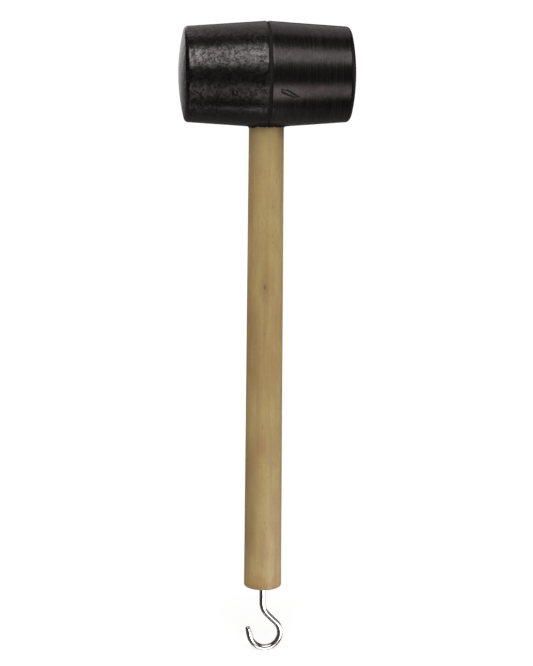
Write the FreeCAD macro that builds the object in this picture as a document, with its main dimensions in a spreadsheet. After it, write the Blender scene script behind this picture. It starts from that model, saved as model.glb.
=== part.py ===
import FreeCAD, Part
import os

import Sketcher

# A camping mallet: a moulded rubber head on a turned wooden handle, with a wire hook in its butt.
# The handle stands along +Z and the head lies along X. The origin is on the handle's axis, at the
# level of the hook's lowest point. Lengths are millimetres and angles are degrees.

DRIVING_SIZES = (
    # rubber head
    ("head_length", 101.0, "between the tops of the two striking domes"),
    ("head_diameter", 60.6, "where the two cones would meet"),
    ("head_end_diameter", 54.2, "where a cone meets its dome"),
    ("dome_height", 3.4, "rise of a striking dome"),
    ("rim_radius", 2.5, "rounding between a cone and its dome"),
    ("parting_width", 1.8, "groove of the mould's parting line"),
    ("parting_depth", 0.4, "groove of the mould's parting line"),
    # handle
    ("handle_reach", 305.0, "from the butt to the centre of the head"),
    ("butt_diameter", 22.4, "handle at its butt"),
    ("butt_easing", 0.9, "rounding of the butt's edge"),
    ("neck_diameter", 20.2, "handle where it enters the head"),
    ("tenon_length", 46.0, "of the handle inside the head, which is closed above it"),
    ("tenon_diameter", 19.4, "top of the tenon, before its chamfer"),
    ("tenon_chamfer", 1.2, "edge of the tenon's top"),
    # screw hook
    ("wire_diameter", 3.5, "wire of the hook"),
    ("hook_drop", 41.4, "from the butt to the hook's lowest point"),
    ("loop_radius", 9.25, "loop, to the middle of the wire"),
    ("loop_offset", 1.6, "centre of the loop beside the shank's axis"),
    ("swan_radius", 11.0, "bend between the shank and the loop"),
    ("swan_angle", 45.0, "turn of that bend"),
    ("tip_lean", 14.0, "outward lean of the tip"),
    ("tip_straight", 2.6, "straight wire before the tip's taper"),
    ("tip_taper", 4.0, "taper of the tip"),
    ("tip_diameter", 2.6, "end of the tip"),
    ("tip_nose", 0.9, "rounding of the tip's end"),
    ("collar_length", 2.0, "plain wire inside the butt"),
    ("runout_length", 0.8, "from the plain wire down to the thread's root"),
    ("thread_length", 18.0, "threaded wire"),
    ("thread_pitch", 1.5, "wood thread"),
    ("thread_root_diameter", 2.4, "wood thread"),
    ("thread_crest_diameter", 3.6, "wood thread"),
    ("thread_crest_width", 0.16, "flat along the crest"),
    ("thread_foot_width", 0.8, "foot of the thread"),
    ("thread_sink", 0.15, "foot of the thread inside the root"),
    ("gimlet_length", 3.6, "point that starts the screw"),
)

document = FreeCAD.newDocument("camping_mallet")
sheet = document.addObject("Spreadsheet::Sheet", "Sizes")
for row, (alias, size, meaning) in enumerate(DRIVING_SIZES, start=1):
    sheet.set(f"A{row}", meaning)
    sheet.set(f"B{row}", str(size))
    sheet.setAlias(f"B{row}", alias)
document.recompute()

# The sketcher's names for its own axes and for the points of a line or arc.
ORIGIN = (-1, 1)
H_AXIS = -1
V_AXIS = -2
START = 1
END = 2
CENTRE = 3
FULL_TURN = 360.0
TOUCH = 1e-4
LEAST_CUT = 1.0

# Levels above the origin.
BUTT_LEVEL = "Sizes.hook_drop"
HEAD_LEVEL = "Sizes.hook_drop + Sizes.handle_reach"
HEAD_RADIUS = "Sizes.head_diameter / 2"


def new_body(label, level):
    """A PartDesign body whose origin stands at this level above the document's origin."""
    body = document.addObject("PartDesign::Body", label)
    body.Label = label
    body.setExpression("Placement.Base.z", level)
    return body


def new_sketch(body, name, role):
    """A sketch on one of the body's own origin planes."""
    sketch = body.newObject("Sketcher::SketchObject", name)
    plane = next(item for item in body.Origin.OriginFeatures if item.Role == role)
    sketch.AttachmentSupport = [(plane, "")]
    sketch.MapMode = "FlatFace"
    return sketch


def new_feature(body, kind, name, **settings):
    """A PartDesign feature with its properties set."""
    feature = body.newObject(f"PartDesign::{kind}", name)
    for key, setting in settings.items():
        setattr(feature, key, setting)
    return feature


def value(formula):
    """What a formula on the sheet comes to."""
    return float(sheet.evalExpression(formula))


def drive(sketch, name, formula, kind, *points):
    """A dimension of the sketch that follows a formula on the sheet."""
    index = sketch.addConstraint(Sketcher.Constraint(kind, *points, value(formula)))
    sketch.renameConstraint(index, name)
    sketch.setExpression(f"Constraints.{name}", formula)


def pin(sketch, name, edge, end, across, up):
    """Places a point by two formulas; a formula of 0 puts it on the axis."""
    if across == "0":
        sketch.addConstraint(Sketcher.Constraint("PointOnObject", edge, end, V_AXIS))
    else:
        drive(sketch, f"{name}_across", across, "DistanceX", *ORIGIN, edge, end)
    if up == "0":
        sketch.addConstraint(Sketcher.Constraint("PointOnObject", edge, end, H_AXIS))
    else:
        drive(sketch, f"{name}_up", up, "DistanceY", *ORIGIN, edge, end)


def dome_arc(start, end):
    """The anticlockwise arc between two points whose centre is on the horizontal axis."""
    reach = (start.dot(start) - end.dot(end)) / (2 * (start.x - end.x))
    centre = FreeCAD.Vector(reach, 0, 0)
    circle = Part.Circle(centre, FreeCAD.Vector(0, 0, 1), start.distanceToPoint(centre))
    return Part.ArcOfCircle(circle, circle.parameter(start), circle.parameter(end))


def draw_outline(sketch, corners, domes=()):
    """A closed outline through corners, each a name and two formulas. Edges are numbered from the
    first corner, and those in domes are arcs about a centre on the horizontal axis."""
    spots = [FreeCAD.Vector(value(across), value(up), 0) for _, across, up in corners]
    following = [*range(1, len(spots)), 0]
    for index, spot in enumerate(spots):
        if index in domes:
            sketch.addGeometry(dome_arc(spot, spots[following[index]]))
            sketch.addConstraint(Sketcher.Constraint("PointOnObject", index, CENTRE, H_AXIS))
        else:
            sketch.addGeometry(Part.LineSegment(spot, spots[following[index]]))
    for index in range(len(spots)):
        joint = Sketcher.Constraint("Coincident", index, END, following[index], START)
        sketch.addConstraint(joint)
    for index, (name, across, up) in enumerate(corners):
        pin(sketch, name, index, START, across, up)


def circles(shape, wanted):
    """Names of the circular edges that pass a test."""
    names = []
    for index, edge in enumerate(shape.Edges, start=1):
        if not edge.Degenerated and isinstance(edge.Curve, Part.Circle) and wanted(edge.Curve):
            names.append(f"Edge{index}")
    return names


def turn_about(body, name, profile, axis):
    """A full revolution of a profile about one of its sketch's axes."""
    turned = new_feature(body, "Revolution", name, Profile=profile, Angle=FULL_TURN)
    turned.ReferenceAxis = (profile, [axis])
    document.recompute()
    return turned


def round_edges(body, name, feature, edges, radius):
    """Fillets with a radius from the sheet."""
    rounded = new_feature(body, "Fillet", name, Base=(feature, edges))
    rounded.setExpression("Radius", radius)
    document.recompute()
    return rounded


def make_head_blank():
    """Two cones meeting at the mould's parting line, with domed faces and rounded rims."""
    body = new_body("head_blank", HEAD_LEVEL)
    face = "Sizes.head_length / 2"
    shoulder = f"({face} - Sizes.dome_height)"
    end_radius = "Sizes.head_end_diameter / 2"
    lip = "Sizes.parting_width / 2"
    lip_radius = f"{HEAD_RADIUS} - ({HEAD_RADIUS} - {end_radius}) * {lip} / {shoulder}"
    profile = new_sketch(body, "head_profile", "XZ_Plane")
    corners = (
        ("left_face", f"-{face}", "0"),
        ("right_face", face, "0"),
        ("right_shoulder", shoulder, end_radius),
        ("right_lip", lip, lip_radius),
        ("parting", "0", f"{HEAD_RADIUS} - Sizes.parting_depth"),
        ("left_lip", f"-{lip}", lip_radius),
        ("left_shoulder", f"-{shoulder}", end_radius),
    )
    right_dome = 1
    left_dome = 6
    draw_outline(profile, corners, domes=(right_dome, left_dome))
    turned = turn_about(body, "head_turned", profile, "H_Axis")
    shoulder_reach = value(shoulder)
    rims = circles(turned.Shape, lambda circle: abs(abs(circle.Center.x) - shoulder_reach) < TOUCH)
    round_edges(body, "head_rims", turned, rims, "Sizes.rim_radius")
    return body


def make_handle_blank():
    """The turned handle with an eased butt and the tapered tenon that is glued into the head."""
    body = new_body("handle_blank", BUTT_LEVEL)
    neck = f"(Sizes.handle_reach - {HEAD_RADIUS})"
    top = f"({neck} + Sizes.tenon_length)"
    tenon_radius = "Sizes.tenon_diameter / 2"
    profile = new_sketch(body, "handle_profile", "XZ_Plane")
    corners = (
        ("butt_middle", "0", "0"),
        ("butt", "Sizes.butt_diameter / 2", "0"),
        ("neck", "Sizes.neck_diameter / 2", neck),
        ("tenon_side", tenon_radius, f"{top} - Sizes.tenon_chamfer"),
        ("tenon_top", f"{tenon_radius} - Sizes.tenon_chamfer", top),
        ("tenon_middle", "0", top),
    )
    draw_outline(profile, corners)
    turned = turn_about(body, "handle_turned", profile, "V_Axis")
    butt_edge = circles(turned.Shape, lambda circle: abs(circle.Center.z) < TOUCH)
    round_edges(body, "butt_edge", turned, butt_edge, "Sizes.butt_easing")
    return body


def draw_hook_line(path):
    """The hook's centre line: shank, swan bend, slope, loop and tip, each tangent to the next."""
    turn = "Sizes.swan_angle"
    lean = "Sizes.tip_lean"
    loop_level = "(Sizes.wire_diameter / 2 + Sizes.loop_radius - Sizes.hook_drop)"
    top_of_loop = (
        f"(Sizes.loop_offset + Sizes.loop_radius * cos({turn}))",
        f"({loop_level} + Sizes.loop_radius * sin({turn}))",
    )
    swan_across = f"(Sizes.swan_radius * (1 - cos({turn})))"
    swan_end = (swan_across, f"({top_of_loop[1]} + ({top_of_loop[0]} - {swan_across}) / tan({turn}))")
    shank_end = ("0", f"({swan_end[1]} + Sizes.swan_radius * sin({turn}))")
    loop_end = (
        f"(Sizes.loop_offset - Sizes.loop_radius * cos({lean}))",
        f"({loop_level} - Sizes.loop_radius * sin({lean}))",
    )
    taper_start = (
        f"({loop_end[0]} - Sizes.tip_straight * sin({lean}))",
        f"({loop_end[1]} + Sizes.tip_straight * cos({lean}))",
    )

    def spot(place):
        return FreeCAD.Vector(value(place[0]), value(place[1]), 0)

    def arc(middle, start, end):
        radius = spot(middle).distanceToPoint(spot(start))
        circle = Part.Circle(spot(middle), FreeCAD.Vector(0, 0, 1), radius)
        return Part.ArcOfCircle(circle, circle.parameter(spot(start)), circle.parameter(spot(end)))

    path.addGeometry(Part.LineSegment(FreeCAD.Vector(0, 0, 0), spot(shank_end)))
    path.addGeometry(arc(("Sizes.swan_radius", shank_end[1]), shank_end, swan_end))
    path.addGeometry(Part.LineSegment(spot(swan_end), spot(top_of_loop)))
    path.addGeometry(arc(("Sizes.loop_offset", loop_level), loop_end, top_of_loop))
    path.addGeometry(Part.LineSegment(spot(loop_end), spot(taper_start)))
    shank, swan, slope, loop, tip = range(5)
    joints = (
        (shank, END, swan, START),
        (swan, END, slope, START),
        (slope, END, loop, END),
        (loop, START, tip, START),
    )
    for joint in joints:
        path.addConstraint(Sketcher.Constraint("Coincident", *joint))
    pin(path, "butt", shank, START, "0", "0")
    pin(path, "shank_end", shank, END, *shank_end)
    pin(path, "swan_end", slope, START, *swan_end)
    pin(path, "top_of_loop", slope, END, *top_of_loop)
    pin(path, "loop_end", tip, START, *loop_end)
    pin(path, "taper_start", tip, END, *taper_start)
    drive(path, "swan_bend", "Sizes.swan_radius", "Radius", swan)
    drive(path, "loop_bend", "Sizes.loop_radius", "Radius", loop)
    return taper_start


def make_screw_hook():
    """A plated wire hook: the screw inside the butt, the bent wire below it and its tapered tip."""
    body = new_body("screw_hook", BUTT_LEVEL)
    wire_radius = "Sizes.wire_diameter / 2"
    root_radius = "Sizes.thread_root_diameter / 2"
    root_start = "(Sizes.collar_length + Sizes.runout_length)"
    root_end = f"({root_start} + Sizes.thread_length)"
    core_profile = new_sketch(body, "screw_core_profile", "XZ_Plane")
    corners = (
        ("butt", "0", "0"),
        ("wire", wire_radius, "0"),
        ("collar", wire_radius, "Sizes.collar_length"),
        ("root", root_radius, root_start),
        ("gimlet", root_radius, root_end),
        ("point", "0", f"{root_end} + Sizes.gimlet_length"),
    )
    draw_outline(core_profile, corners)
    turn_about(body, "screw_core", core_profile, "V_Axis")

    section = new_sketch(body, "wire_section", "XY_Plane")
    wire = Part.Circle(FreeCAD.Vector(0, 0, 0), FreeCAD.Vector(0, 0, 1), value(wire_radius))
    section.addGeometry(wire)
    pin(section, "middle", 0, CENTRE, "0", "0")
    drive(section, "wire", "Sizes.wire_diameter / 2", "Radius", 0)
    path = new_sketch(body, "hook_line", "XZ_Plane")
    taper_start = draw_hook_line(path)
    new_feature(body, "AdditivePipe", "bent_wire", Profile=section, Spine=(path, []))
    document.recompute()

    along = ("-sin(Sizes.tip_lean)", "cos(Sizes.tip_lean)")
    across = ("cos(Sizes.tip_lean)", "sin(Sizes.tip_lean)")

    def tip_point(reach, radius):
        sides = zip(taper_start, along, across)
        return tuple(f"{base} + {reach} * ({step}) + {radius} * {side}" for base, step, side in sides)

    tip_profile = new_sketch(body, "tip_profile", "XZ_Plane")
    corners = (
        ("tip_middle", *taper_start),
        ("tip_wire", *tip_point("0", wire_radius)),
        ("tip_end", *tip_point("Sizes.tip_taper", "Sizes.tip_diameter / 2")),
        ("tip_end_middle", *tip_point("Sizes.tip_taper", "0")),
    )
    draw_outline(tip_profile, corners)
    middle_line = "Edge4"
    tip = turn_about(body, "tip", tip_profile, middle_line)
    nose_radius = value("Sizes.tip_diameter / 2")
    nose = circles(tip.Shape, lambda circle: abs(circle.Radius - nose_radius) < TOUCH)
    round_edges(body, "tip_nose", tip, nose, "Sizes.tip_nose")

    tooth_level = f"({root_start} - Sizes.runout_length / 2)"
    crest_radius = "Sizes.thread_crest_diameter / 2"
    sunk_radius = f"({root_radius} - Sizes.thread_sink)"
    tooth = new_sketch(body, "thread_tooth", "XZ_Plane")
    corners = (
        ("foot_low", sunk_radius, f"{tooth_level} - Sizes.thread_foot_width / 2"),
        ("crest_low", crest_radius, f"{tooth_level} - Sizes.thread_crest_width / 2"),
        ("crest_high", crest_radius, f"{tooth_level} + Sizes.thread_crest_width / 2"),
        ("foot_high", sunk_radius, f"{tooth_level} + Sizes.thread_foot_width / 2"),
    )
    draw_outline(tooth, corners)
    thread = new_feature(body, "AdditiveHelix", "thread", Profile=tooth, Mode="pitch-height-angle")
    thread.ReferenceAxis = (tooth, ["V_Axis"])
    thread.setExpression("Pitch", "Sizes.thread_pitch")
    thread.setExpression("Height", "Sizes.thread_length")
    document.recompute()
    return body


def cut_away(label, base, tool):
    """The base with the other piece's own shape taken out of it, so that the two fit exactly."""
    cut = document.addObject("Part::Cut", label)
    cut.Label = label
    cut.Base = base
    cut.Tool = tool
    document.recompute()
    if cut.Shape.Volume > base.Shape.Volume - LEAST_CUT:
        raise RuntimeError(f"{label} loses nothing to {tool.Label}")
    return cut


head_blank = make_head_blank()
handle_blank = make_handle_blank()
screw_hook = make_screw_hook()
rubber_head = cut_away("rubber_head", head_blank, handle_blank)
handle = cut_away("handle", handle_blank, screw_hook)
document.recompute()

for item in document.Objects:
    if {"Invalid", "Error"} & set(item.State):
        raise RuntimeError(f"{item.Label} is {item.State}")

os.makedirs("parts", exist_ok=True)
for piece in (rubber_head, handle, screw_hook):
    shape = piece.Shape
    if shape.isNull() or not shape.isValid() or len(shape.Solids) != 1:
        raise RuntimeError(f"{piece.Label} is not one valid solid")
    shape.exportStep(f"parts/{piece.Label}.step")
    box = shape.BoundBox
    print(f"{piece.Label}: {shape.Volume:.1f} mm3, z {box.ZMin:.2f} to {box.ZMax:.2f}")
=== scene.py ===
import math

import bmesh
import bpy
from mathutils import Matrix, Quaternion, Vector, noise


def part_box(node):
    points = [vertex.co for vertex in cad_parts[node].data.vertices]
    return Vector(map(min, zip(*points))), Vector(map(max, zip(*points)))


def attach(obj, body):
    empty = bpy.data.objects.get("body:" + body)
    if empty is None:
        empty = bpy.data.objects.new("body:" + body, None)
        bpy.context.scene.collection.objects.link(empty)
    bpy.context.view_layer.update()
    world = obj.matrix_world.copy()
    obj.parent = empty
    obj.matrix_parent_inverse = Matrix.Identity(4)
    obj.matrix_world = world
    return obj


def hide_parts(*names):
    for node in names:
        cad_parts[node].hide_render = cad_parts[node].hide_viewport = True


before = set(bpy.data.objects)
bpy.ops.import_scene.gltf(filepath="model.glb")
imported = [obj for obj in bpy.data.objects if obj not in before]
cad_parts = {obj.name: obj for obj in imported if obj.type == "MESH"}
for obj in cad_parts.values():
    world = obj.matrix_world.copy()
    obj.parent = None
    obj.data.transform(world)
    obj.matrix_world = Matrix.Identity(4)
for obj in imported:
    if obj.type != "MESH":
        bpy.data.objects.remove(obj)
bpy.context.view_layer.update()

# ---- Handle ---------------------------------------------------------------------------------
# One length of pale hardwood, turned round with a slight swell towards the butt and lacquered
# thinly. Its top is a tapered tenon with a chamfered end, glued into the closed eye of the head.

handle_low, handle_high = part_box("handle")
head_radius = 0.0303
tenon_length = 0.046
butt_level = handle_low.z
butt_radius = handle_high.x
tenon_level = handle_high.z
neck_level = tenon_level - tenon_length
head_level = neck_level + head_radius
neck_radius = 0.0101
tenon_radius = 0.0097
tenon_chamfer = 0.0012
wire_radius = 0.00175
crest_radius = 0.0018
screw_depth = 0.0244
gimlet = 0.0036
collar_length = 0.0020
hole_step = 0.0010
hole_edge = 0.0003
hole_flare = 0.0004
hole_end_room = 0.0002
butt_easing = 0.0009
easing_steps = 6
shaft_rows = 90
handle_sides = 96
bare_wood = 0.00007
sways_across = 60
sways_along = 16
butt_ring_gap = 0.003
tenon_ring_share = 0.6
seam = 1e-7


def turn_on_lathe(outline, axis, outward, steps):
    """A closed shape turned from a half outline of (along the axis, out from it) points."""
    shape = bmesh.new()
    spots = [shape.verts.new(axis * along + outward * out) for along, out in outline]
    chain = [shape.edges.new(pair) for pair in zip(spots, spots[1:])]
    bmesh.ops.spin(
        shape,
        geom=spots + chain,
        cent=(0, 0, 0),
        axis=axis,
        angle=math.tau,
        steps=steps,
        use_merge=True,
    )
    bmesh.ops.remove_doubles(shape, verts=shape.verts, dist=seam)
    bmesh.ops.recalc_face_normals(shape, faces=shape.faces)
    return shape


def make_piece(name, shape, crease=35):
    """Turns a finished shape into a smooth-shaded piece; edges past the crease angle stay crisp."""
    mesh = bpy.data.meshes.new(name)
    shape.to_mesh(mesh)
    shape.free()
    mesh.shade_smooth()
    mesh.set_sharp_from_angle(angle=math.radians(crease))
    piece = bpy.data.objects.new(name, mesh)
    bpy.context.collection.objects.link(piece)
    return piece


def shaft_radius(level):
    """Radius of the turned handle at a level: the grip's taper, then the tenon's."""
    if level < neck_level:
        share = (level - butt_level) / (neck_level - butt_level)
        return butt_radius + (neck_radius - butt_radius) * share
    share = (level - neck_level) / (tenon_level - tenon_chamfer - neck_level)
    return neck_radius + (tenon_radius - neck_radius) * share


handle_outline = [
    (butt_level + screw_depth + hole_end_room, 0),
    (butt_level + screw_depth - gimlet, crest_radius),
    (butt_level + collar_length + hole_step, crest_radius),
    (butt_level + collar_length, wire_radius),
    (butt_level + hole_edge, wire_radius),
    (butt_level, wire_radius + hole_flare),
    (butt_level, wire_radius + butt_ring_gap),
    (butt_level, butt_radius - butt_easing * 1.8),
]
for step in range(easing_steps + 1):
    turn = math.radians(90) * step / easing_steps
    rise = butt_easing * (1 - math.cos(turn))
    reach = butt_radius - butt_easing * (1 - math.sin(turn))
    handle_outline.append((butt_level + rise, reach))
shaft_start = butt_level + butt_easing * 1.6
for step in range(shaft_rows + 1):
    level = shaft_start + (tenon_level - tenon_chamfer - shaft_start) * step / shaft_rows
    handle_outline.append((level, shaft_radius(level)))
handle_outline += [
    (tenon_level, tenon_radius - tenon_chamfer),
    (tenon_level, tenon_radius * tenon_ring_share),
    (tenon_level, 0),
]
handle_shape = turn_on_lathe(handle_outline, Vector((0, 0, 1)), Vector((1, 0, 0)), handle_sides)
for vert in handle_shape.verts:
    flat = Vector((vert.co.x, vert.co.y, 0))
    if flat.length > wire_radius * 2 and vert.co.z < neck_level:
        spot = Vector((vert.co.x * sways_across, vert.co.y * sways_across, vert.co.z * sways_along))
        sway = noise.noise(spot)
        vert.co -= flat.normalized() * bare_wood * (0.5 + 0.5 * sway)
handle = make_piece("turned_handle", handle_shape)


class Tone:
    """One value of a finish. Sums and products of tones add the nodes that work them out."""

    def __init__(self, tree, socket):
        self.tree = tree
        self.socket = socket

    def node(self, kind, settings, inputs, output=0):
        """Adds a node: its settings first, then the values or tones of its sockets."""
        made = self.tree.nodes.new(kind)
        for name, setting in settings.items():
            setattr(made, name, setting)
        for name, given in inputs.items():
            if isinstance(given, Tone):
                self.tree.links.new(given.socket, made.inputs[name])
            else:
                made.inputs[name].default_value = given
        return Tone(self.tree, made.outputs[output])

    def maths(self, operation, other):
        return self.node("ShaderNodeMath", {"operation": operation}, {0: self, 1: other})

    def __add__(self, other):
        return self.maths("ADD", other)

    def __radd__(self, other):
        return self.maths("ADD", other)

    def __sub__(self, other):
        return self.maths("SUBTRACT", other)

    def __rsub__(self, other):
        return self.node("ShaderNodeMath", {"operation": "SUBTRACT"}, {0: other, 1: self})

    def __mul__(self, other):
        return self.maths("MULTIPLY", other)

    def __rmul__(self, other):
        return self.maths("MULTIPLY", other)

    def between(self, low, high):
        """0 below low, 1 above high, with a smooth rise; low above high turns it round."""
        limits = {"Value": self, "From Min": low, "From Max": high}
        return self.node("ShaderNodeMapRange", {"interpolation_type": "SMOOTHSTEP"}, limits)

    def stretched(self, x, y, z):
        """The same place measured with a stretched rule, so that patterns follow the piece."""
        return self.node("ShaderNodeVectorMath", {"operation": "MULTIPLY"}, {0: self, 1: (x, y, z)})

    def moved(self, x, y, z):
        """The same place measured from another spot."""
        return self.node("ShaderNodeVectorMath", {"operation": "ADD"}, {0: self, 1: (x, y, z)})

    def cloud(self, scale, detail=2.0, roughness=0.5, distortion=0.0):
        """Soft random patches, as many to the metre as the scale says."""
        look = {"Scale": scale, "Detail": detail, "Roughness": roughness, "Distortion": distortion}
        return self.node("ShaderNodeTexNoise", {}, {"Vector": self, **look})

    def part(self, name):
        """The x, y or z of a place."""
        return self.node("ShaderNodeSeparateXYZ", {}, {0: self}, output="XYZ".index(name))

    def span(self):
        """The length of a place's vector."""
        return self.node("ShaderNodeVectorMath", {"operation": "LENGTH"}, {0: self}, output=1)

    def near(self, spot, reach, edge):
        """1 within reach of a spot, fading to 0 over the edge."""
        return self.moved(*[-value for value in spot]).span().between(reach + edge, reach)

    def tint(self, base, over):
        """Lays one colour over another by this much."""
        inputs = {0: self, 6: base, 7: over}
        return self.node("ShaderNodeMix", {"data_type": "RGBA"}, inputs, output=2)


def start_finish(name):
    """A new finish and the place on the piece that its patterns read."""
    finish = bpy.data.materials.new(name)
    finish.use_nodes = True
    tree = finish.node_tree
    return finish, Tone(tree, tree.nodes.new("ShaderNodeTexCoord").outputs["Object"])


def lay_finish(finish, piece, varying, fixed, relief, depth):
    """Sets the shader's sockets, gives it relief in metres, and puts the finish on the piece."""
    tree = finish.node_tree
    shader = tree.nodes["Principled BSDF"]
    for name, value in fixed.items():
        shader.inputs[name].default_value = value
    for name, tone in varying.items():
        tree.links.new(tone.socket, shader.inputs[name])
    bump = relief.node("ShaderNodeBump", {}, {"Height": relief, "Distance": depth, "Strength": 1.0})
    tree.links.new(bump.socket, shader.inputs["Normal"])
    piece.data.materials.clear()
    piece.data.materials.append(finish)


def make_wood(name, piece, pale, tan, brown, marks):
    """Hardwood with upright grain: fibres, bands, mottling, pores and the piece's marks, painted
    shade among them.
    """
    finish, place = start_finish(name)
    fibres = place.stretched(1, 1, 0.02).cloud(1500, detail=4, roughness=0.65)
    bands = place.stretched(1, 1, 0.035).moved(0.02, 0.013, 0).cloud(330, detail=3, distortion=0.4)
    mottle = place.stretched(1, 1, 0.45).cloud(62, detail=3, roughness=0.6)
    blush = place.stretched(1, 1, 0.5).moved(0.4, 0, 0).cloud(115, detail=3, roughness=0.65)
    dashes = place.stretched(1, 1, 0.12).cloud(2600, detail=1)
    pores = dashes.between(0.67, 0.74)
    colour = mottle.between(0.36, 0.66).tint((*pale, 1), (*tan, 1))
    colour = (bands.between(0.42, 0.7) * 0.42).tint(colour, (*brown, 1))
    colour = (blush.between(0.45, 0.68) * 0.4).tint(colour, (*blush_wood, 1))
    fibre_tan = (*[shade * fibre_shade for shade in tan], 1)
    pore_brown = (*[shade * pore_shade for shade in brown], 1)
    colour = (fibres.between(0.35, 0.75) * 0.16).tint(colour, fibre_tan)
    colour = (pores * 0.45).tint(colour, pore_brown)
    # The marks include real stains and also shade painted into the wood's colour.
    for strength, mask, stain_and_shade in marks(place, mottle):
        colour = (mask * strength).tint(colour, (*stain_and_shade, 1))
    sheen = 0.47 + fibres * 0.12 + pores * 0.15
    relief = fibres * 0.4 - pores * 0.9 + bands * 0.4
    varying = {"Base Color": colour, "Roughness": sheen}
    lay_finish(finish, piece, varying, {"Specular IOR Level": 0.35}, relief, grain_depth)


pale_wood = (0.610, 0.452, 0.183)
tan_wood = (0.535, 0.363, 0.142)
brown_wood = (0.420, 0.262, 0.104)
blush_wood = (0.525, 0.320, 0.160)
fibre_shade = 0.62
pore_shade = 0.55
grain_depth = 0.00006


def handle_marks(place, mottle):
    """Stains and a knot that this handle has, and shade painted under the head, each a strength, a
    mask and a colour.
    """
    wander = mottle - 0.5
    level = place.part("Z") + wander * 0.02
    left = place.part("X") + wander * 0.004
    front = place.part("Y").between(0.002, -0.003)
    upper_streak = left.between(-0.002, -0.006) * level.between(0.160, 0.178)
    upper_streak = upper_streak * level.between(0.222, 0.205)
    lower_streak = left.between(-0.004, -0.007) * level.between(0.055, 0.075)
    lower_streak = lower_streak * level.between(0.142, 0.125)
    knot_place = place.stretched(1, 1, 0.45)
    knot = knot_place.near((-0.0010, -0.0104, 0.1012), 0.0002, 0.0008)
    knot_gap = knot_place.moved(0.0010, 0.0104, -0.1008).span() + wander * 0.006
    knot_shade = knot_gap.between(0.0048, 0.0008)
    blush_place = place.stretched(1, 1, 0.55)
    blush_gap = blush_place.moved(0.0030, 0.0106, -0.0715).span() + wander * 0.008
    blush = blush_gap.between(0.0058, 0.0008)
    patches = place.stretched(1, 1, 0.7).cloud(330, detail=3, roughness=0.7)
    butt_stain = (level + (patches - 0.5) * 0.02).between(butt_level + 0.010, butt_level + 0.002)
    butt_rim = level.between(butt_level + 0.0022, butt_level + 0.0006) * patches.between(0.3, 0.6)
    # Painted shade: the wood is darkened over the last few millimetres below the head, where the
    # head shades it.
    painted_neck_shade = level.between(neck_level - 0.005, neck_level + 0.002)
    return (
        (0.40, upper_streak * front, (0.37, 0.215, 0.085)),
        (0.42, lower_streak * front, (0.36, 0.205, 0.080)),
        (0.40, knot_shade, (0.36, 0.225, 0.085)),
        (0.60, knot, (0.17, 0.09, 0.035)),
        (0.45, blush, (0.50, 0.255, 0.110)),
        (0.45, butt_stain, (0.50, 0.240, 0.090)),
        (0.35, butt_rim, (0.24, 0.150, 0.050)),
        # painted shade under the head
        (0.50, painted_neck_shade, (0.16, 0.095, 0.045)),
    )


make_wood("lacquered_hardwood", handle, pale_wood, tan_wood, brown_wood, handle_marks)
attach(handle, "root")
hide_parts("handle")
handle.visible_glossy = False  # the rubber and the wire don't mirror the wood

# ---- Rubber head ----------------------------------------------------------------------------
# A solid black rubber barrel from a two-part mould: two cones meet at the parting line, and each
# striking face is a low dome with a rounded rim. The eye in its underside is closed on top, and the
# rubber is torn a little where the handle was driven in.

head_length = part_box("rubber_head")[1].x * 2
dome_height = 0.0034
end_radius = 0.0271
rim_setback = 0.0018
parting_half = 0.0009
parting_depth = 0.0004
head_sides = 240
dome_rows = 12
outer_rows = 20
inner_rows = 10
shoulder = head_length / 2 - dome_height
cone_slope = (head_radius - end_radius) / shoulder
dome_radius = (end_radius**2 + dome_height**2) / (2 * dome_height)
eye_half = 0.0125
eye_turn = math.radians(24)


def barrel_radius(across):
    """Radius of the moulded surface at a distance from the parting line, its groove included."""
    distance = abs(across)
    cone = head_radius - cone_slope * max(distance, parting_half)
    groove = max(0.0, 1 - (distance / parting_half) ** 2)
    return cone - parting_depth * groove


side_rows = []
for step in range(dome_rows + 1):
    turn = math.asin(end_radius / dome_radius) * step / dome_rows
    across = head_length / 2 - dome_radius * (1 - math.cos(turn))
    side_rows.append((across, dome_radius * math.sin(turn)))
for step in range(1, outer_rows + 1):
    across = shoulder + (eye_half - shoulder) * step / outer_rows
    side_rows.append((across, barrel_radius(across)))
for step in range(1, inner_rows + 1):
    across = eye_half + (parting_half - eye_half) * step / inner_rows
    side_rows.append((across, barrel_radius(across)))
for share in (0.75, 0.5, 0.25):
    side_rows.append((parting_half * share, barrel_radius(parting_half * share)))
other_rows = [(-across, out) for across, out in reversed(side_rows)]
head_outline = [*side_rows, (0, barrel_radius(0)), *other_rows]
head_shape = turn_on_lathe(head_outline, Vector((1, 0, 0)), Vector((0, 0, 1)), head_sides)

touch = 1e-6
rims = [
    edge
    for edge in head_shape.edges
    if all(abs(abs(vert.co.x) - shoulder) < touch for vert in edge.verts)
]
bmesh.ops.bevel(
    head_shape,
    geom=rims,
    offset=rim_setback,
    segments=8,
    profile=0.5,
    material=-1,
    affect="EDGES",
)


def in_eye_patch(face):
    """Whether a face lies in the square that is opened for the eye in the underside."""
    middle = face.calc_center_median()
    return abs(middle.x) < eye_half and abs(math.atan2(middle.y, -middle.z)) < eye_turn


opened = [face for face in head_shape.faces if in_eye_patch(face)]
bmesh.ops.delete(head_shape, geom=opened, context="FACES")
tears_to_metre = 430


def draw_on(shape, ring):
    """Adds faces along an open edge. Gives their new open edge and its corners, not moved yet."""
    grown = bmesh.ops.extrude_edge_only(shape, edges=ring)["geom"]
    edges = [part for part in grown if isinstance(part, bmesh.types.BMEdge)]
    verts = [part for part in grown if isinstance(part, bmesh.types.BMVert)]
    return [edge for edge in edges if edge.is_boundary], verts


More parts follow.
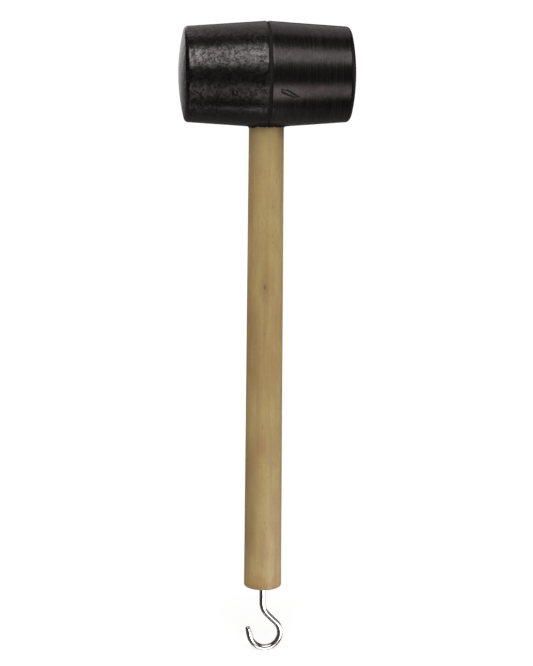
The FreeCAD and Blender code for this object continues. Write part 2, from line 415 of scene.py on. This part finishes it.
def work_eye_edge(shape, rings):
    """Draws the square's edge in to the eye ring by ring. Each ring says how far it has gone from
    the square to the circle, its radius, how far it stands proud of the moulded surface and how
    ragged it is."""
    edge_ring = [edge for edge in shape.edges if edge.is_boundary]
    for share, radius, proud, ragged in rings:
        edge_ring, verts = draw_on(shape, edge_ring)
        for vert in verts:
            plan = Vector((vert.co.x, vert.co.y, 0))
            goal = plan.normalized() * radius
            plan = plan.lerp(goal, share)
            drop = math.sqrt(barrel_radius(plan.x) ** 2 - plan.y**2) + proud
            torn = noise.fractal(goal * tears_to_metre, 0.8, 2.1, 3)
            vert.co = Vector((plan.x, plan.y, -drop - ragged * torn))
    return edge_ring


def draw_eye_wall(shape, edge_ring, places):
    """Carries the eye's edge up inside the head through (radius, height) places and closes it."""
    for radius, height in places:
        edge_ring, verts = draw_on(shape, edge_ring)
        for vert in verts:
            plan = Vector((vert.co.x, vert.co.y, 0)).normalized() * radius
            vert.co = Vector((plan.x, plan.y, height))
    bmesh.ops.holes_fill(shape, edges=edge_ring)


glue_gap = 0.00002
mouth_radius = neck_radius + glue_gap
mouth_rings = [(share, mouth_radius + 0.0011, 0, 0) for share in (0.2, 0.25, 0.34, 0.5, 1)]
mouth_rings += [
    (1, mouth_radius + 0.0006, 0.0001, 0.0001),
    (1, mouth_radius + 0.00025, 0.0006, 0.0008),
    (1, mouth_radius + 0.0001, 0.0005, 0.0008),
]
mouth_edge = work_eye_edge(head_shape, mouth_rings)
eye_end = tenon_level - head_level
eye_places = (
    (mouth_radius, 0.0015 - head_radius),
    (tenon_radius + glue_gap, eye_end - tenon_chamfer),
    (tenon_radius - tenon_chamfer + glue_gap, eye_end + glue_gap),
    (tenon_radius * 0.4, eye_end + glue_gap),
)
draw_eye_wall(head_shape, mouth_edge, eye_places)
bmesh.ops.recalc_face_normals(head_shape, faces=head_shape.faces)

scar_patches = (
    (-0.026, 0.019, -0.017, 0.0),
    (-0.026, 0.019, -0.017, 0.0),
    (0.0045, 0.0175, -0.0135, -0.0055),
    (-0.0235, -0.0175, -0.0120, -0.0060),
)
for left_end, right_end, low_side, high_side in scar_patches:
    scarred = [
        face
        for face in head_shape.faces
        if face.calc_center_median().y < 0
        and left_end < face.calc_center_median().x < right_end
        and low_side < face.calc_center_median().z < high_side
    ]
    scarred_edges = list({edge for face in scarred for edge in face.edges})
    bmesh.ops.subdivide_edges(head_shape, edges=scarred_edges, cuts=1, use_grid_fill=True)

gouges = (
    (Vector((0.0060, -0.0080)), Vector((0.0134, -0.0112)), 0.00045, 0.00042),
    (Vector((0.0088, -0.0068)), Vector((0.0158, -0.0110)), 0.00040, 0.00036),
    (Vector((0.0056, -0.0066)), Vector((0.0078, -0.0070)), 0.00035, 0.00018),
)
dimple_middle = Vector((-0.0204, -0.0089))
dimple_radius = 0.0013
dimple_width = 0.0005
dimple_depth = 0.00030


def scar_depth(spot):
    """How deep the cuts and the ring mark in the front of the head go at a spot (across, up)."""
    deepest = 0.0
    for start, end, half_width, depth in gouges:
        along = end - start
        share = max(0.0, min(1.0, (spot - start).dot(along) / along.length_squared))
        gap = (spot - start - along * share).length
        taper = math.sin(math.pi * min(1.0, 0.08 + share * 0.9)) ** 0.5
        deepest = max(deepest, depth * taper * max(0.0, 1 - (gap / half_width) ** 2))
    ring_gap = abs((spot - dimple_middle).length - dimple_radius)
    return max(deepest, dimple_depth * max(0.0, 1 - (ring_gap / dimple_width) ** 2))


moulding_sway = 0.00006
sways_to_metre = 55
rim_wear = 0.00018
wears_to_metre = 240
rim_reach = 0.0040
lip_reach = 0.0025
barrel_share = 0.97
head_shape.normal_update()
for vert in head_shape.verts:
    spot = vert.co.copy()
    on_barrel = math.hypot(spot.y, spot.z) > barrel_radius(shoulder) * barrel_share
    near_eye = spot.z < 0 and math.hypot(spot.x, spot.y) < mouth_radius + lip_reach
    if (on_barrel or abs(spot.x) > shoulder) and not near_eye:
        sway = 0.5 + 0.5 * noise.noise(spot * sways_to_metre)
        rim = max(0.0, 1 - abs(abs(spot.x) - shoulder) / rim_reach)
        wear = 0.5 + 0.5 * noise.noise(spot * wears_to_metre)
        depth = moulding_sway * sway + rim_wear * rim * wear
        if spot.y < 0:
            depth += scar_depth(Vector((spot.x, spot.z)))
        vert.co -= vert.normal * depth
bmesh.ops.translate(head_shape, verts=head_shape.verts, vec=(0, 0, head_level))
head = make_piece("rubber_barrel", head_shape, crease=50)


jet_rubber = (0.0050, 0.0040, 0.0043, 1)
waxy_rubber = (0.0110, 0.0088, 0.0088, 1)
brushed_rubber = (0.0150, 0.0122, 0.0122, 1)
pit_black = (0.002, 0.002, 0.002, 1)
smear_red = (0.085, 0.026, 0.020, 1)
groove_dust = (0.017, 0.013, 0.013, 1)
# Brown of the handle's painted reflection on the glue ring about the eye.
glue_and_handle_reflection_brown = (0.014, 0.009, 0.006, 1)
pit_depth = 0.00016


def make_rubber(name, piece):
    """Black moulded rubber: pits and a patchy waxy bloom on one half, faint turning lines on the
    other, and dull glue about the eye with the wooden handle's reflection painted on it in brown."""
    finish, place = start_finish(name)
    centred = place.moved(0, 0, -head_level)
    across = centred.part("X")
    right_half = across.between(-0.0005, 0.0015)
    left_half = 1 - right_half
    barrel = across.maths("ABSOLUTE", 0).between(shoulder + 0.0005, shoulder - 0.001)
    groove = across.maths("ABSOLUTE", 0).between(0.0011, 0.0006)
    height = centred.part("Z")
    # The ring about the eye: dull glue, tinted brown as a painted reflection of the wooden handle.
    collar = place.stretched(1, 1, 0).span().between(0.0165, 0.0115) * height.between(-0.02, -0.025)
    blotch = centred.cloud(70, detail=4, roughness=0.6)
    bloom = centred.cloud(480, detail=4, roughness=0.75)
    fine = centred.moved(0.3, 0, 0).cloud(1100, detail=2, roughness=0.7)
    pitted = centred.moved(0, 0.2, 0).cloud(160, detail=2).between(0.42, 0.56)
    pits = fine.between(0.57, 0.66) * pitted
    specks = centred.cloud(1300, detail=2).between(0.56, 0.68)
    lines = centred.stretched(1, 0.02, 0.02).cloud(1500, detail=3, roughness=0.75)
    brushed = lines.between(0.38, 0.66)
    worn = blotch.between(0.40, 0.66)
    film = bloom.between(0.42, 0.60)
    ends = across.between(-0.030, -0.044) + across.between(-0.016, -0.002) * left_half
    rough_zone = height.between(0.0275, 0.0215) * height.between(-0.0225, -0.0155)
    waxy = film * (0.6 + 0.3 * worn + 0.6 * ends) + specks * 0.25
    waxy = waxy * (0.25 + 0.75 * rough_zone) + (1 - rough_zone) * 0.12
    near_parting = across.between(0.026, 0.004) * height.between(0.002, -0.006)
    dull = 0.04 + 0.13 * brushed + 0.30 * film * (0.4 + 0.6 * worn) + 0.35 * near_parting
    coat = (waxy * left_half + dull * right_half) * (1 - pits * (0.4 + 0.6 * left_half))
    coat = coat * barrel * (1 - groove) * (1 - collar) + (1 - barrel) * 0.05
    smear = centred.near((0.0285, -0.0276, -0.0062), 0.0008, 0.0025) * (0.35 + 0.65 * specks)
    colour = (waxy * left_half * 0.6).tint(jet_rubber, waxy_rubber)
    colour = (brushed * right_half * 0.5).tint(colour, brushed_rubber)
    colour = (pits * left_half * 0.8).tint(colour, pit_black)
    colour = (smear * 0.8).tint(colour, smear_red)
    colour = (groove * 0.9).tint(colour, groove_dust)
    # Painted reflection: the wood's brown laid on the dull glue ring about the eye.
    colour = (collar * 0.7).tint(colour, glue_and_handle_reflection_brown)
    roughness = 0.23 + 0.08 * worn * left_half + 0.06 * brushed * right_half
    roughness = roughness + 0.4 * groove + 0.4 * collar
    relief = bloom * (0.30 + 0.30 * left_half) + lines * right_half * 0.08 - pits * left_half * 0.9
    relief = relief * (0.25 + 0.75 * barrel * rough_zone)
    varying = {"Base Color": colour, "Roughness": roughness, "Coat Weight": coat}
    fixed = {
        "Specular IOR Level": 0.42,
        "Specular Tint": (1.0, 0.87, 0.89, 1),
        "Coat Roughness": 0.27,
        "Coat IOR": 1.75,
        "Coat Tint": (1.0, 0.97, 0.97, 1),
    }
    lay_finish(finish, piece, varying, fixed, relief, pit_depth)


make_rubber("moulded_black_rubber", head)
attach(head, "root")
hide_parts("rubber_head")

# ---- Screw hook -----------------------------------------------------------------------------
# Drawn steel wire, zinc plated bright. It is cold bent into a swan neck and a loop, and its upper
# end is rolled to a wood thread with a gimlet point, which is screwed into the butt.

loop_radius = 0.00925
loop_across = 0.0016
loop_level = wire_radius + loop_radius
swan_radius = 0.0110
swan_turn = math.radians(45)
tip_lean = math.radians(14)
tip_straight = 0.0026
tip_taper = 0.0040
root_radius = 0.0012
thread_pitch = 0.0015
thread_turns = 12
runout = 0.0008
wire_sides = 24

slope_end_x = loop_across + loop_radius * math.cos(swan_turn)
slope_end_z = loop_level + loop_radius * math.sin(swan_turn)
swan_end_x = swan_radius * (1 - math.cos(swan_turn))
slope_run = (slope_end_x - swan_end_x) / math.sin(swan_turn)
shank_end_z = slope_end_z + slope_run * math.cos(swan_turn) + swan_radius * math.sin(swan_turn)


def push_on(shape, ring, reach, steps=1):
    """Draws the open end of the wire straight on by a length."""
    for _ in range(steps):
        ring, verts = draw_on(shape, ring)
        bmesh.ops.translate(shape, verts=verts, vec=reach / steps)
    return ring


def bend_on(shape, ring, middle, angle, steps):
    """Bends the open end of the wire on about a centre in the hook's plane."""
    bent = bmesh.ops.spin(
        shape, geom=ring, cent=middle, axis=(0, 1, 0), angle=angle, steps=steps, use_duplicate=False
    )["geom_last"]
    return [part for part in bent if isinstance(part, bmesh.types.BMEdge)]


def end_verts(ring):
    """The corners of the wire's open end."""
    return list({vert for edge in ring for vert in edge.verts})


hook_shape = bmesh.new()
bmesh.ops.create_circle(hook_shape, cap_ends=False, radius=wire_radius, segments=wire_sides)
bmesh.ops.translate(hook_shape, verts=hook_shape.verts, vec=(0, 0, butt_level + collar_length))
top_ring = list(hook_shape.edges)
shank = Vector((0, 0, shank_end_z - butt_level - collar_length))
ring = push_on(hook_shape, top_ring, shank, steps=5)
ring = bend_on(hook_shape, ring, (swan_radius, 0, shank_end_z), -swan_turn, 10)
slope = Vector((math.sin(swan_turn), 0, -math.cos(swan_turn)))
ring = push_on(hook_shape, ring, slope * slope_run, steps=4)
ring = bend_on(hook_shape, ring, (loop_across, 0, loop_level), math.pi - tip_lean + swan_turn, 48)
tip_way = Vector((-math.sin(tip_lean), 0, math.cos(tip_lean)))
ring = push_on(hook_shape, ring, tip_way * tip_straight, steps=3)
tip_narrowing = (
    (0.3, 0.92),
    (0.6, 0.84),
    (0.775, 0.795),
    (0.9, 0.675),
    (0.96, 0.525),
    (0.99, 0.375),
    (1.0, 0.22),
)
gone = 0.0
size_before = 1.0
for share, size in tip_narrowing:
    ring = push_on(hook_shape, ring, tip_way * tip_taper * (share - gone))
    verts = end_verts(ring)
    middle = sum((vert.co for vert in verts), Vector()) / len(verts)
    for vert in verts:
        vert.co = middle + (vert.co - middle) * (size / size_before)
    gone = share
    size_before = size
bmesh.ops.holes_fill(hook_shape, edges=ring)

thread_low = butt_level + collar_length + runout
thread_high = butt_level + screw_depth - gimlet
thread_profile = (
    (0, root_radius),
    (0.28, root_radius),
    (0.45, crest_radius),
    (0.55, crest_radius),
    (0.72, root_radius),
    (1, root_radius),
)
thread_shape = bmesh.new()
thread_start = thread_low - thread_pitch * 1.5
spots = [
    thread_shape.verts.new((out, 0, thread_start + thread_pitch * along))
    for along, out in thread_profile
]
chain = [thread_shape.edges.new(pair) for pair in zip(spots, spots[1:])]
turn_steps = 24
spare_turns = 3
turns = thread_turns + spare_turns
bmesh.ops.spin(
    thread_shape,
    geom=spots + chain,
    cent=(0, 0, 0),
    axis=(0, 0, 1),
    dvec=(0, 0, thread_pitch / turn_steps),
    angle=math.tau * turns,
    steps=turn_steps * turns,
)
bmesh.ops.remove_doubles(thread_shape, verts=thread_shape.verts, dist=touch)
for level, way in ((thread_low, -1), (thread_high, 1)):
    everything = list(thread_shape.verts) + list(thread_shape.edges) + list(thread_shape.faces)
    bmesh.ops.bisect_plane(
        thread_shape,
        geom=everything,
        dist=seam,
        plane_co=(0, 0, level),
        plane_no=(0, 0, way),
        clear_outer=True,
    )
thread_mesh = bpy.data.meshes.new("thread")
thread_shape.to_mesh(thread_mesh)
thread_shape.free()
hook_shape.from_mesh(thread_mesh)
bpy.data.meshes.remove(thread_mesh)


def open_edges(shape, low, high):
    """The open edges of a shape between two levels."""
    return [
        edge
        for edge in shape.edges
        if edge.is_boundary and all(low < vert.co.z < high for vert in edge.verts)
    ]


collar_level = butt_level + collar_length
slack = 1e-5
runout_edges = open_edges(hook_shape, collar_level - slack, thread_low + slack)
bmesh.ops.bridge_loops(hook_shape, edges=runout_edges)
ring = open_edges(hook_shape, thread_high - slack, thread_high + slack)
gimlet_narrowing = ((0.45, 0.72), (0.35, 0.45), (0.2, 0.05))
for share, size in gimlet_narrowing:
    ring = push_on(hook_shape, ring, Vector((0, 0, gimlet * share)))
    for vert in end_verts(ring):
        vert.co.x *= size
        vert.co.y *= size
bmesh.ops.holes_fill(hook_shape, edges=ring)
bmesh.ops.remove_doubles(hook_shape, verts=hook_shape.verts, dist=touch * 2)
bmesh.ops.recalc_face_normals(hook_shape, faces=hook_shape.faces)
hook = make_piece("bent_wire_hook", hook_shape, crease=45)


bright_zinc = (0.74, 0.735, 0.73, 1)
dull_zinc = (0.60, 0.595, 0.59, 1)
rubbed_steel = (0.34, 0.33, 0.325, 1)
drawing_depth = 0.00003


def make_plating(name, piece):
    """Bright zinc plating on drawn wire: faint drawing lines, dull patches, a few rubbed spots."""
    finish, place = start_finish(name)
    clouding = place.cloud(500, detail=3)
    rubbed = place.moved(0.05, 0, 0).cloud(900, detail=2).between(0.56, 0.7)
    drawn = place.stretched(1, 1, 0.05).cloud(4000, detail=2)
    colour = clouding.between(0.3, 0.75).tint(bright_zinc, dull_zinc)
    colour = (rubbed * 0.4).tint(colour, rubbed_steel)
    roughness = 0.11 + clouding * 0.07 + rubbed * 0.12
    relief = drawn * 0.3 + clouding * 0.5
    varying = {"Base Color": colour, "Roughness": roughness}
    lay_finish(finish, piece, varying, {"Metallic": 0.94}, relief, drawing_depth)


make_plating("bright_zinc_plating", hook)
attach(hook, "root")
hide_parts("screw_hook")

# ---- Floor ----------------------------------------------------------------------------------
# A wide sheet of white paper that the mallet stands over, far larger than the view. It isn't
# mirrored in the pieces and throws neither light nor shadow on them.

floor_half = 20
floor_drop = 0.0002
paper_white = (0.52, 0.52, 0.52, 1)
paper_grey = (0.50, 0.50, 0.50, 1)
paper_tooth = 0.0001
floor_shape = bmesh.new()
bmesh.ops.create_grid(floor_shape, x_segments=1, y_segments=1, size=floor_half)
bmesh.ops.translate(floor_shape, verts=floor_shape.verts, vec=(0, 0, -floor_drop))
floor = make_piece("paper_floor", floor_shape)
paper, place = start_finish("white_paper")
fibre = place.cloud(60, detail=3)
paper_look = {
    "Roughness": 0.9,
    "Emission Color": (1, 1, 1, 1),
    "Emission Strength": 0.62,
    "Specular IOR Level": 0.0,
}
paper_colour = {"Base Color": fibre.tint(paper_grey, paper_white)}
lay_finish(paper, floor, paper_colour, paper_look, fibre, paper_tooth)
floor.visible_glossy = False
floor.visible_diffuse = False
floor.visible_shadow = False

# ---- Light ----------------------------------------------------------------------------------
# Plain soft studio light: a broad key above and before the mallet, a broad light above and behind,
# a low one behind its left and a fill from its right. Pale reflectors stand low before it, under it
# and at its right, and small white cards stand close to the hook.


def direction(compass, height):
    """A direction out from the mallet. The compass angle is 0 before it and grows to its right."""
    side = math.radians(compass)
    rise = math.radians(height)
    level_part = math.cos(rise)
    return Vector((math.sin(side) * level_part, -math.cos(side) * level_part, math.sin(rise)))


def hang_sun(name, compass, height, spread, strength, gloss=True, colour=(1, 1, 1)):
    """A broad distant light, which gloss shows or not."""
    lamp = bpy.data.lights.new(name, "SUN")
    lamp.angle = math.radians(spread)
    lamp.energy = strength
    lamp.color = colour
    sun = bpy.data.objects.new(name, lamp)
    sun.rotation_euler = direction(compass, height).to_track_quat("Z", "Y").to_euler()
    sun.visible_glossy = gloss
    bpy.context.collection.objects.link(sun)


key_white = (1, 0.975, 0.97)
back_white = (1, 0.90, 0.92)
hang_sun("key_light", compass=-3, height=46, spread=42, strength=1.08, colour=key_white)
hang_sun("back_light", compass=180, height=50, spread=60, strength=0.36, colour=back_white)
hang_sun("side_light", compass=-168, height=8, spread=30, strength=0.19)
hang_sun("fill_light", compass=70, height=12, spread=80, strength=0.35, gloss=False)

card_spread = math.radians(50)
card_aim = Vector((loop_across, 0, loop_level + 0.008))


def set_card(name, compass, height, distance, size, glow):
    """A square white card close to the hook that only gloss shows."""
    lamp = bpy.data.lights.new(name, "AREA")
    lamp.size = size
    lamp.energy = glow * math.pi * size**2
    lamp.spread = card_spread
    card = bpy.data.objects.new(name, lamp)
    card.location = card_aim + direction(compass, height) * distance
    card.rotation_euler = direction(compass, height).to_track_quat("Z", "Y").to_euler()
    card.visible_diffuse = False
    bpy.context.collection.objects.link(card)


set_card("right_card", compass=36, height=-14, distance=0.25, size=0.17, glow=0.95)
set_card("far_right_card", compass=95, height=-12, distance=0.25, size=0.16, glow=0.3)
set_card("low_card", compass=6, height=-60, distance=0.14, size=0.085, glow=0.85)

world = bpy.data.worlds.new("studio_air")
bpy.context.scene.world = world
world.use_nodes = True
air = world.node_tree
path = air.nodes.new("ShaderNodeLightPath")
seen = Tone(air, path.outputs["Is Camera Ray"])
gloss = Tone(air, path.outputs["Is Glossy Ray"])
heading = Tone(air, air.nodes.new("ShaderNodeTexCoord").outputs["Generated"])


def round_reflector(compass, height, inner, outer, glow):
    """A soft round reflector in the studio air that only gloss shows."""
    way = direction(compass, height)
    vectors = {0: heading, 1: way}
    facing = heading.node("ShaderNodeVectorMath", {"operation": "DOT_PRODUCT"}, vectors, output=1)
    return facing.between(math.cos(math.radians(outer)), math.cos(math.radians(inner))) * glow


def long_reflector(low, high, edge, glow):
    """A reflector along the head between two angles: 0 is before the mallet, -90 under it."""
    turn = heading.part("Z").maths("ARCTAN2", heading.part("Y") * -1)
    rise = turn.between(math.radians(low - edge), math.radians(low + edge))
    fall = turn.between(math.radians(high + edge), math.radians(high - edge))
    return rise * fall * glow


sideways = heading.part("X")
low_band = long_reflector(low=-50, high=-22, edge=5, glow=1.7)
low_band = low_band * (0.5 + 0.7 * sideways.between(0.05, 0.13))
low_band = low_band * sideways.between(-0.14, 0.0) * sideways.between(0.42, 0.22)
under_glow = long_reflector(low=-178, high=-84, edge=14, glow=0.10)
right_glow = round_reflector(compass=80, height=15, inner=12, outer=40, glow=0.3)
dim_studio = 0.02
air_light = 0.45
white_wall = 1.0
sheen = dim_studio + low_band + under_glow + right_glow
level = (1 - gloss) * air_light + gloss * sheen + seen * white_wall
air.links.new(level.socket, air.nodes["Background"].inputs["Strength"])
reflector_white = (1, 0.93, 0.92, 1)
air_colour = gloss.tint((1, 1, 1, 1), reflector_white)
air.links.new(air_colour.socket, air.nodes["Background"].inputs["Color"])

# ---- Camera ---------------------------------------------------------------------------------
# A long lens a little over a metre from the mallet's middle, a little to its left. It looks
# slightly down and is rolled by half a degree.

aim = Vector((0.0011, 0, 0.1959))
stand_off = 1.1134
camera_roll = math.radians(0.50)
back = direction(compass=-5.3, height=11.38)
lens = bpy.data.cameras.new("long_lens")
lens.lens = 102.7
lens.sensor_width = 36
lens.clip_start = 0.05
lens.clip_end = 60
camera = bpy.data.objects.new("camera", lens)
camera.location = aim + back * stand_off
camera.rotation_mode = "QUATERNION"
camera.rotation_quaternion = back.to_track_quat("Z", "Y") @ Quaternion((0, 0, 1), camera_roll)
bpy.context.collection.objects.link(camera)
bpy.context.scene.camera = camera
bpy.context.scene.view_settings.view_transform = "Standard"
